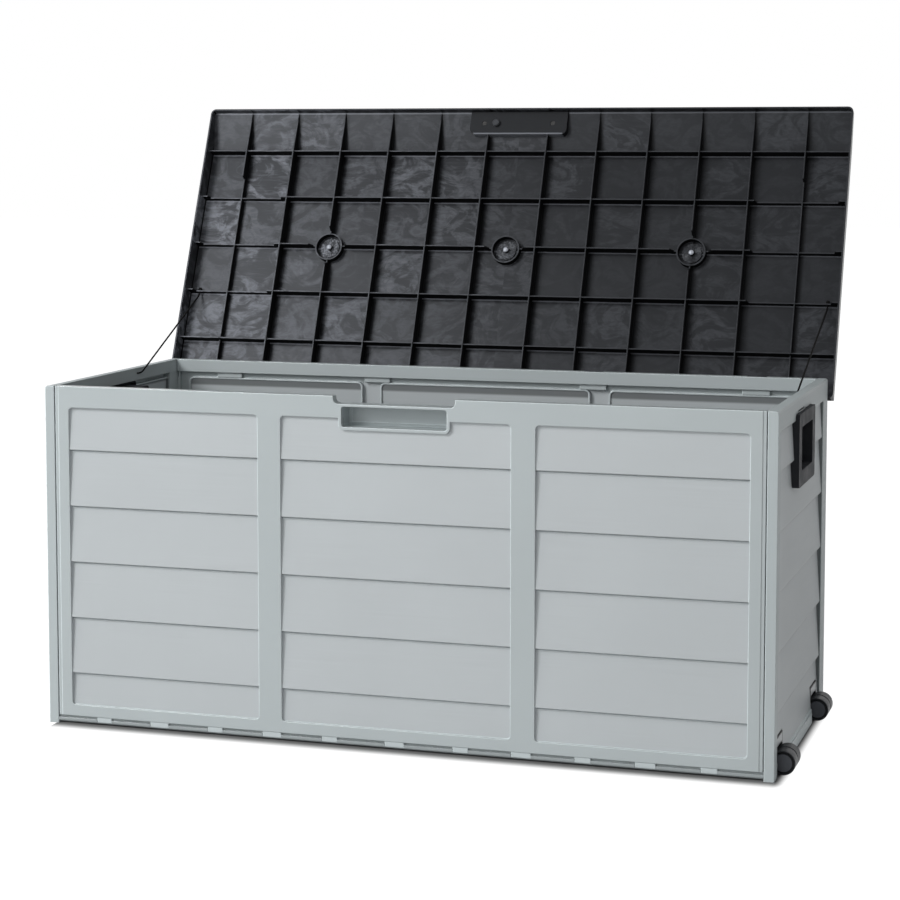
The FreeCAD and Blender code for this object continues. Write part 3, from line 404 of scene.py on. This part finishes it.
def flow_marks(s, flow, field, x, within):
    """Cloudy flow marks of the moulding, made stronger at the left end as painted sheen."""
    cloud = s.noise(s.stretch(flow, CLOUD_STRETCH), *CLOUD_NOISE)
    wisps = s.noise(s.stretch(flow, WISP_STRETCH), *WISP_NOISE)
    streak = s.noise(s.stretch(flow, STREAK_STRETCH), *STREAK_NOISE)
    marks = s.times(s.ramp(cloud, *CLOUD_RANGE), s.ramp(wisps, *WISP_RANGE))
    marks = s.add_part(s.ramp(streak, *STREAK_RANGE), STREAK_SHARE, marks)
    marks = s.times(marks, within, s.ramp(field, *FIELD_RANGE))
    return s.math("MULTIPLY", marks, s.ramp(x, *MARKS_SHEEN_FADE), clamp=True)


def lid_floor_depth(s, station, z):
    """How far a point lies under the inner face of the lid's top, which slopes down near the front."""
    sloping = s.larger(s.minus(station, LID_SLOPE_START), 0.0)
    return s.minus(s.add_part(sloping, -LID_SLOPE, LID_FLOOR_Z), z)


def rib_painted_highlights(s, station, x, on_floor):
    """Painted highlight lines on the lid's floor along the ribs that run from end to end."""
    phase = s.math("FRACT", s.math("DIVIDE", s.minus(station, RIB_FIRST_S), RIB_PITCH_S))
    near_rib = s.larger(s.band(phase, *RIB_LINE), s.band(station, *FRONT_RIB_LINE))
    return s.times(on_floor, near_rib, s.ramp(x, *RIB_HIGHLIGHT_FADE))


def rib_sides(s, facing, below, x, station):
    """1 on the sides of the ribs, inside the lid's skirt."""
    sides = s.times(s.under(s.absolute(facing), RIB_SIDE_TURN), s.over(below, RIB_SIDE_DEPTH))
    return s.times(sides, s.under(s.absolute(x), LID_RIBBED_X), s.under(station, LID_RIBBED_S))


def lid_material():
    """Dark moulding with cloudy flow marks that differ from one ribbed field to the next, painted sheen
    towards the left end, painted shadows beside the ribs, painted highlights on and along the ribs and
    painted shade on their sides.
    """
    s = Shader("lid_plastic_look")
    turned = s.closed_lid()
    x, y, z = s.split(turned)
    station = s.minus(LID_REAR_EDGE, y)
    below = lid_floor_depth(s, station, z)
    within = s.over(below, -FLOOR_MARGIN)
    within = s.times(within, s.under(s.absolute(x), LID_INNER_X), s.under(station, LID_INNER_S))

    side = s.math("SIGN", x)
    beside = s.minus(s.absolute(x), RIB_FIRST_X)
    column = s.math("FLOOR", s.math("DIVIDE", beside, RIB_PITCH_X))
    row = s.math("FLOOR", s.math("DIVIDE", s.minus(LID_REAR_EDGE - RIB_FIRST_S, y), RIB_PITCH_S))
    cell = s.join(column, row, side)
    field = s.node("TexWhiteNoise", {"noise_dimensions": "3D"}, Vector=cell).outputs[0]
    shift = s.join(s.times(field, FIELD_SHIFT), 0.0, field)
    flow = s.node("VectorMath", {"operation": "ADD"}, i0=turned, i1=shift).outputs[0]
    marks = flow_marks(s, flow, field, x, within)
    # Painted sheen: the base grey grows lighter towards the left end.
    level = s.add_part(marks, MARKS_LEVEL, s.ramp(x, *LID_TONE_AND_SHEEN))

    beyond = s.math("FRACT", s.math("DIVIDE", s.times(beside, side), RIB_PITCH_X))
    level = s.times(level, s.towards(1.0, s.ramp(beyond, *RIB_SHADE), within))
    facing = s.dot(s.local_normal(), LID_NORMAL)
    faces_out = s.over(facing, FACES_OUT)
    tip = s.times(faces_out, s.over(below, RIB_TIP_DEPTH))
    on_floor = s.times(faces_out, s.under(below, FLOOR_MARGIN))
    sides = rib_sides(s, facing, below, x, station)
    # Painted highlight lines along the ribs that run from end to end.
    level = s.add_part(rib_painted_highlights(s, station, x, on_floor), RIB_HIGHLIGHT_LEVEL, level)
    # Painted highlight on the rib tips, stronger towards the left end.
    level = s.add_part(tip, s.ramp(x, *RIB_TIP_HIGHLIGHT), level)
    # Painted shade: the rib sides are made near black.
    level = s.towards(level, RIB_SIDE_SHADE_LEVEL, sides)

    off = s.math("MINIMUM", s.absolute(x), s.absolute(s.minus(s.absolute(x), CUP_SPREAD)))
    radius = s.reach(off, s.minus(station, CUP_STATION))
    pad = s.times(s.under(radius, CUP_PAD_RADIUS), within)
    speck = s.times(pad, s.ramp(s.noise(turned, *PAD_SPECK), *PAD_SPECK_RANGE))
    # Light specks on the cups' pads, partly their mottling and partly painted sheen, stronger towards the
    # left end.
    level = s.add_part(speck, s.ramp(x, *PAD_SPECK_AND_SHEEN), level)

    rough = s.ramp(s.add_part(field, FIELD_ROUGHNESS, marks), *LID_ROUGHNESS)
    rough = s.towards(rough, PAD_ROUGHNESS, pad)
    rough = s.towards(rough, RIB_SIDE_ROUGHNESS, sides)
    skin = s.times(s.noise(s.local(), *LID_SKIN), LID_SKIN_HEIGHT)
    height = s.add_part(s.noise(flow, *LID_WAVE), LID_WAVE_HEIGHT, skin)
    turns = s.math("SINE", s.times(radius, PAD_TURNS))
    height = s.add_part(s.times(turns, pad), PAD_TURN_HEIGHT, height)
    normal = s.bump(height, *LID_BUMP, s.rounded(LID_ROUNDING))
    return s.surface(s.scaled(DARK_TINT, level), rough, normal, Specular_IOR_Level=LID_GLOSS,
                     Specular_Tint=GLOSS_TINT)


# Small dark mouldings
DARK_CLOUD = (60.0, 4.0, 0.6)
DARK_GRAIN, DARK_GRAIN_DETAIL = 1600.0, 2.0
DARK_SPREAD = (0.70, 1.30)
DARK_ROUNDING = 0.0006
DARK_BUMP = (0.0002, 0.5)
DARK_RANGE = (0.3, 0.7)
DARK_ROUGHNESS = (0.36, 0.50)
ROLLER_FACES_OUT = 0.9
ROLLER_LEVELS, DISC_GREY_AND_LIGHT_LEVELS, RING_SHADE_LEVEL = (0.022, 0.042), (0.080, 0.125), 0.002
ROLLER_GLOSS = 0.18
PLATE_CLOUD = (70.0, 4.0, 0.6)
PLATE_HIGHLIGHT_BAND = (-0.2034, -0.2010, 0.0005)
PLATE_HALF_LENGTH = 0.0775
PLATE_LEVELS, PLATE_HIGHLIGHT_LEVEL = (0.009, 0.015), 0.17
PLATE_ROUNDING = 0.0012
PLATE_GLOSS = 0.14


def dark_greys(s, cloud, levels):
    """Two dark greys, mixed by a cloud."""
    return s.mix(cloud, grey(levels[0], DARK_TINT), grey(levels[1], DARK_TINT))


def dark_surface(s, base, cloud, roughness, grain=DARK_GRAIN, rounding=DARK_ROUNDING, gloss=0.30):
    normal = s.bump(s.noise(s.local(), grain, DARK_GRAIN_DETAIL), *DARK_BUMP, s.rounded(rounding))
    return s.surface(base, s.ramp(cloud, *DARK_RANGE, *roughness), normal, Specular_IOR_Level=gloss,
                     Specular_Tint=GLOSS_TINT)


def dark_plastic(name, level, roughness, **look):
    """Plain dark moulding with a fine grain."""
    s = Shader(name)
    cloud = s.noise(s.local(), *DARK_CLOUD)
    base = dark_greys(s, cloud, [level * share for share in DARK_SPREAD])
    return dark_surface(s, base, cloud, roughness, **look)


def roller_material():
    """Dark moulding whose end discs are lighter, partly their own grey and partly painted light, inside a
    ring of painted shade.
    """
    s = Shader("roller_look")
    local = s.local()
    x, _, z = s.split(local)
    radius = s.reach(s.minus(x, ROLLER_X), s.minus(z, ROLLER_Z))
    end = s.over(s.absolute(s.split(s.local_normal())[1]), ROLLER_FACES_OUT)
    disc = s.times(end, s.under(radius, ROLLER_DISC))
    ring = s.times(end, s.band(radius, ROLLER_DISC, ROLLER_RING, ROLLER_RING_SOFT))
    cloud = s.noise(local, *DARK_CLOUD)
    # The end discs are lighter, partly their own grey and partly painted light.
    base = s.mix(disc, dark_greys(s, cloud, ROLLER_LEVELS), dark_greys(s, cloud, DISC_GREY_AND_LIGHT_LEVELS))
    # Painted shade: a near-black ring round each disc.
    base = s.mix(ring, base, grey(RING_SHADE_LEVEL, DARK_TINT))
    return dark_surface(s, base, cloud, DARK_ROUGHNESS, gloss=ROLLER_GLOSS)


def grip_plate_material():
    """Satin plate with a painted highlight along its rolled rear edge."""
    s = Shader("grip_plate_look")
    x, y, _ = s.split(s.closed_lid())
    cloud = s.noise(s.local(), *PLATE_CLOUD)
    # Painted highlight in a band along the plate's rolled rear edge.
    rim_highlight = s.times(s.band(y, *PLATE_HIGHLIGHT_BAND), s.under(s.absolute(x), PLATE_HALF_LENGTH))
    base = s.mix(rim_highlight, dark_greys(s, cloud, PLATE_LEVELS), grey(PLATE_HIGHLIGHT_LEVEL, DARK_TINT))
    return dark_surface(s, base, cloud, DARK_ROUGHNESS, rounding=PLATE_ROUNDING, gloss=PLATE_GLOSS)


# Steel and cord
BRUSH_STRETCH, BRUSH_NOISE = (60.0, 900.0, 900.0), (1.0, 2.0)
BRUSH_ROUGHNESS, BRUSH_BUMP = (0.3, 0.7, 0.25, 0.42), (0.00005, 0.4)
TWIST_SCALE, TWIST_DISTORTION = 260.0, 1.0
CORD_LEVELS = (0.002, 0.008)
CORD_ROUGHNESS, CORD_BUMP, CORD_GLOSS = 0.8, (0.0003, 0.7), 0.10


def steel_material(name, level):
    s = Shader(name)
    marks = s.noise(s.stretch(s.local(), BRUSH_STRETCH), *BRUSH_NOISE)
    return s.surface(grey(level), s.ramp(marks, *BRUSH_ROUGHNESS), s.bump(marks, *BRUSH_BUMP), Metallic=1.0)


def cord_material():
    s = Shader("stay_cord_look")
    twist = s.node("TexWave", {"wave_type": "BANDS", "bands_direction": "DIAGONAL"}, Vector=s.local(),
                   Scale=TWIST_SCALE, Distortion=TWIST_DISTORTION).outputs["Fac"]
    base = s.mix(twist, grey(CORD_LEVELS[0]), grey(CORD_LEVELS[1]))
    return s.surface(base, CORD_ROUGHNESS, s.bump(twist, *CORD_BUMP), Specular_IOR_Level=CORD_GLOSS)


def assign(material, *names):
    for name in names:
        nodes[name].data.materials.clear()
        nodes[name].data.materials.append(material)


def paint_nodes():
    assign(panel_material("front_plastic_look", along_y=False), "front_panel", "rear_panel")
    assign(panel_material("side_plastic_look", board_level=0.565, frame_level=0.515, rough_base=0.46,
                          gloss=0.22, lap_shade_change=-0.45),
           "left_side_panel", "right_side_panel")
    assign(panel_material("bracket_plastic_look", board_level=0.500, frame_level=0.500, rough_base=0.40,
                          gloss=0.30, lap_shade_change=-0.85, outline_shade_change=-0.85, edge_light=0.0),
           "front_wheel_bracket", "rear_wheel_bracket")
    assign(panel_material("floor_plastic_look", board_level=0.30, frame_level=0.36, edge_light=0.12),
           "floor_panel_left", "floor_panel_right")
    assign(lid_material(), "lid")
    assign(grip_plate_material(), "lid_grip_plate")
    assign(dark_plastic("bumper_look", 0.040, (0.36, 0.50), gloss=0.20), "lid_bumper")
    assign(dark_plastic("handle_look", 0.040, (0.44, 0.58), grain=1100.0, rounding=0.0012, gloss=0.03),
           "left_handle", "right_handle")
    assign(roller_material(), "front_wheel", "rear_wheel")
    assign(steel_material("steel_look", 0.42), "hinge_pins", "front_wheel_axle", "rear_wheel_axle")
    assign(steel_material("dark_screw_look", 0.035), "grip_plate_screws")


def link_mesh(name, build, material):
    """Turns a bmesh into a linked, smooth object that carries one material."""
    mesh = bpy.data.meshes.new(name)
    for face in build.faces:
        face.smooth = True
    build.to_mesh(mesh)
    build.free()
    mesh.materials.append(material)
    made = bpy.data.objects.new(name, mesh)
    bpy.context.scene.collection.objects.link(made)
    return made


# Stay cord: the right one's route in metres, from the knot in the end wall to the knot behind the lid's rib
STAY_ROUTE = ((0.5406, 0.0600, 0.5030), (0.5285, 0.0600, 0.5030), (0.52899, 0.07651, 0.51016),
              (0.53551, 0.29811, 0.60622), (0.5360, 0.31462, 0.61338), (0.5360, 0.31853, 0.62258))
SPLINE_STEPS = 24
SHORTEST_RUN = 1e-9
CORD_RADIUS = 0.0015
STRANDS = 3
STRAND_LAY = 0.0075
STRAND_RELIEF = 0.10
RING_SIDES = 12
RING_STEP = 0.0009
KNOT_RADIUS = 0.0034
KNOT_LENGTH = 0.0060
KNOT_STEPS = 12
KNOT_ARC = (0.12, 0.76)
KNOT_BARREL = 0.5
KNOT_TURNS, KNOT_RELIEF = 2, 0.08


def smooth_line(points):
    """Points along the NURBS spline that has the given points as its control points."""
    curve = bpy.data.curves.new("stay_line", "CURVE")
    curve.dimensions = "3D"
    curve.resolution_u = SPLINE_STEPS
    spline = curve.splines.new("NURBS")
    spline.points.add(len(points) - 1)
    for point, place in zip(spline.points, points):
        point.co = (*place, 1.0)
    spline.order_u = 3
    spline.use_endpoint_u = True
    holder = bpy.data.objects.new("stay_line", curve)
    mesh = bpy.data.meshes.new_from_object(holder)
    line = [vertex.co.copy() for vertex in mesh.vertices]
    bpy.data.meshes.remove(mesh)
    bpy.data.objects.remove(holder)
    bpy.data.curves.remove(curve)
    return line


def even_steps(line, step):
    """Places at an even step along a line, each with the line's direction there."""
    places = []
    left_over = 0.0
    for first, second in zip(line, line[1:]):
        run = (second - first).length
        if run < SHORTEST_RUN:
            continue
        ahead = (second - first) / run
        at = left_over
        while at < run:
            places.append((first + ahead * at, ahead))
            at += step
        left_over = at - run
    places.append((line[-1], places[-1][1]))
    return places


def join_rings(build, first, second):
    """Faces between two rings of as many points."""
    for i in range(len(first)):
        j = (i + 1) % len(first)
        build.faces.new((first[i], first[j], second[j], second[i]))


def tube(build, places, radius_at):
    """Rings of a tube joined up and closed at both ends; radius_at(travel, angle) gives its skin."""
    across = places[0][1].orthogonal().normalized()
    rings = []
    travel = 0.0
    before = places[0][0]
    for place, ahead in places:
        travel += (place - before).length
        before = place
        across = (across - ahead * across.dot(ahead)).normalized()
        up = ahead.cross(across)
        ring = []
        for i in range(RING_SIDES):
            angle = 2 * math.pi * i / RING_SIDES
            spoke = across * math.cos(angle) + up * math.sin(angle)
            ring.append(build.verts.new(place + spoke * radius_at(travel, angle)))
        rings.append(ring)
    for first, second in zip(rings, rings[1:]):
        join_rings(build, first, second)
    build.faces.new(rings[0][::-1])
    build.faces.new(rings[-1])


def cord_skin(travel, angle):
    wave = math.cos(STRANDS * (angle - 2 * math.pi * travel / STRAND_LAY))
    return CORD_RADIUS * (1.0 - STRAND_RELIEF + STRAND_RELIEF * wave)


def knot_skin(travel, angle):
    share = min(max(travel / KNOT_LENGTH, 0.0), 1.0)
    barrel = math.sin(math.pi * (KNOT_ARC[0] + KNOT_ARC[1] * share)) ** KNOT_BARREL
    wave = math.cos(KNOT_TURNS * (angle - 2 * math.pi * travel / KNOT_LENGTH))
    return KNOT_RADIUS * barrel * (1.0 - KNOT_RELIEF + KNOT_RELIEF * wave)


def make_stay(name, node, mirror, material):
    """Laid cord with a knot at each end, in place of the plain tube."""
    route = [Vector((mirror * x, y, z)) for x, y, z in STAY_ROUTE]
    build = bmesh.new()
    tube(build, even_steps(smooth_line(route), RING_STEP), cord_skin)
    for end, inner in ((route[0], route[1]), (route[-1], route[-2])):
        ahead = (inner - end).normalized()
        first = end - ahead * KNOT_LENGTH / 2
        knot = even_steps([first, first + ahead * KNOT_LENGTH], KNOT_LENGTH / KNOT_STEPS)
        tube(build, knot, knot_skin)
    if mirror < 0:
        bmesh.ops.reverse_faces(build, faces=build.faces)
    bmesh.ops.recalc_face_normals(build, faces=build.faces)
    piece = link_mesh(name, build, material)
    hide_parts(node)
    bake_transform(piece)


def make_stays():
    material = cord_material()
    make_stay("right_stay_laid_cord", "right_lid_stay", 1.0, material)
    make_stay("left_stay_laid_cord", "left_lid_stay", -1.0, material)


# Gate nubs in the cups of the lid, in metres with the lid closed
NUB_RADIUS = 0.0044
NUB_HEIGHT = 0.0022
NUB_BASE = 0.5229
NUB_RINGS, NUB_SIDES = 6, 28
NUB_LOBES, NUB_RELIEF = 3, 0.05


def opened(x, y, z):
    """Moves a point of the closed lid to its place at rest, with the lid open."""
    turn = Matrix.Rotation(-OPENING, 3, "X")
    return HINGE + turn @ (Vector((x, y, z)) - HINGE)


def make_nubs():
    """Broken-off gate stubs with a domed, slightly uneven top."""
    # The light grey of the nubs is a painted highlight.
    material = dark_plastic("gate_nub_look", 0.42, (0.12, 0.26), grain=900.0, rounding=0.0002, gloss=0.80)
    centre = LID_REAR_EDGE - CUP_STATION
    for number, x in enumerate((-CUP_SPREAD, 0.0, CUP_SPREAD)):
        build = bmesh.new()
        rings = []
        for i in range(NUB_RINGS):
            lift = math.sin(0.5 * math.pi * i / NUB_RINGS)
            out = NUB_RADIUS * math.cos(0.5 * math.pi * i / NUB_RINGS)
            ring = []
            for j in range(NUB_SIDES):
                angle = 2 * math.pi * j / NUB_SIDES
                reach = out * (1.0 + NUB_RELIEF * math.sin(NUB_LOBES * angle + number) * (1.0 - lift))
                along, across = reach * math.cos(angle), reach * math.sin(angle)
                place = opened(x + along, centre + across, NUB_BASE - NUB_HEIGHT * lift)
                ring.append(build.verts.new(place))
            rings.append(ring)
        crown = build.verts.new(opened(x, centre, NUB_BASE - NUB_HEIGHT))
        for first, second in zip(rings, rings[1:]):
            join_rings(build, first, second)
        for j in range(NUB_SIDES):
            build.faces.new((rings[-1][j], rings[-1][(j + 1) % NUB_SIDES], crown))
        build.faces.new(rings[0][::-1])
        bmesh.ops.recalc_face_normals(build, faces=build.faces)
        piece = link_mesh("gate_nub_%d" % (number + 1), build, material)
        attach(piece, "lid")


# Studio: white floor with a contact shadow round the box's footprint, partly rendered and partly painted by
# dimming the floor's glow near it, white background, three lamps
FLOOR_SIZE = 40.0
FLOOR_SHADE, FLOOR_BOUNCE = 0.24, 0.68
SHADOW_START, SHADOW_END = 0.001, 0.036
SHADOW_LEFT_INSET = 0.012
LEFT_FALL_OFF = 30.0
RIGHT_FALL_OFF = 2.1
WORLD_SEEN, WORLD_LIGHT = 1.0, 0.29
WHITE = (1.0, 1.0, 1.0, 1.0)


def beside_footprint(s):
    """Distance on the floor from the box's footprint, counted faster past its ends."""
    x, y, _ = s.split(s.place())
    right = s.larger(s.minus(x, HALF_LENGTH), 0.0)
    left = s.larger(s.minus(s.times(x, -1.0), HALF_LENGTH - SHADOW_LEFT_INSET), 0.0)
    ends = s.add_part(left, LEFT_FALL_OFF, s.times(right, RIGHT_FALL_OFF))
    return s.reach(ends, s.larger(s.minus(s.absolute(y), HALF_DEPTH), 0.0))


def seen_ray(s):
    """1 for rays from the camera, and for mirrored and transmitted ones."""
    path = s.node("LightPath")
    either = s.larger(path.outputs["Is Camera Ray"], path.outputs["Is Glossy Ray"])
    return s.larger(either, path.outputs["Is Transmission Ray"])


def make_floor():
    mesh = bpy.data.meshes.new("studio_floor")
    build = bmesh.new()
    half = FLOOR_SIZE / 2
    corners = ((-half, -half), (half, -half), (half, half), (-half, half))
    build.faces.new([build.verts.new((x, y, 0.0)) for x, y in corners])
    build.to_mesh(mesh)
    build.free()
    floor = bpy.data.objects.new("studio_floor", mesh)
    bpy.context.scene.collection.objects.link(floor)
    s = Shader("studio_floor_look")
    glow = s.ramp(beside_footprint(s), SHADOW_START, SHADOW_END)
    shade = s.node("BsdfDiffuse", None, Color=grey(FLOOR_SHADE))
    light = s.node("Emission", None, Color=WHITE, Strength=glow)
    white = s.node("AddShader", None, i0=shade, i1=light)
    plain = s.node("BsdfDiffuse", None, Color=grey(FLOOR_BOUNCE))
    s.put(s.out.inputs[0], s.node("MixShader", None, i0=seen_ray(s), i1=plain, i2=white))
    mesh.materials.append(s.material)


class WorldShader(Shader):
    """The same helpers for the world's node tree."""

    def __init__(self, world):
        world.use_nodes = True
        self.tree = world.node_tree
        self.tree.nodes.clear()
        self.out = self.tree.nodes.new("ShaderNodeOutputWorld")


def make_world():
    world = bpy.data.worlds.new("studio")
    bpy.context.scene.world = world
    s = WorldShader(world)
    seen = s.node("Background", None, Color=WHITE, Strength=WORLD_SEEN)
    light = s.node("Background", None, Color=WHITE, Strength=WORLD_LIGHT)
    s.put(s.out.inputs[0], s.node("MixShader", None, i0=seen_ray(s), i1=light, i2=seen))


def lamp(name, place, aim, size, power):
    data = bpy.data.lights.new(name, "AREA")
    data.shape = "RECTANGLE"
    data.size, data.size_y = size
    data.energy = power
    made = bpy.data.objects.new(name, data)
    bpy.context.scene.collection.objects.link(made)
    made.location = place
    made.rotation_euler = (Vector(aim) - Vector(place)).to_track_quat("-Z", "Y").to_euler()
    made.visible_camera = False


def make_lights():
    lamp("key", place=(-2.7, -3.7, 3.2), aim=(0.0, 0.0, 0.4), size=(1.8, 2.2), power=162.0)
    lamp("front", place=(-0.6, -5.4, 1.7), aim=(0.0, 0.0, 0.3), size=(2.6, 1.8), power=38.0)
    lamp("left", place=(-3.0, -1.3, 0.7), aim=(-0.3, -0.1, 0.35), size=(0.9, 1.6), power=10.0)


make_camera()
paint_nodes()
make_stays()
make_nubs()
make_floor()
make_world()
make_lights()
bpy.context.scene.view_settings.view_transform = "Standard"
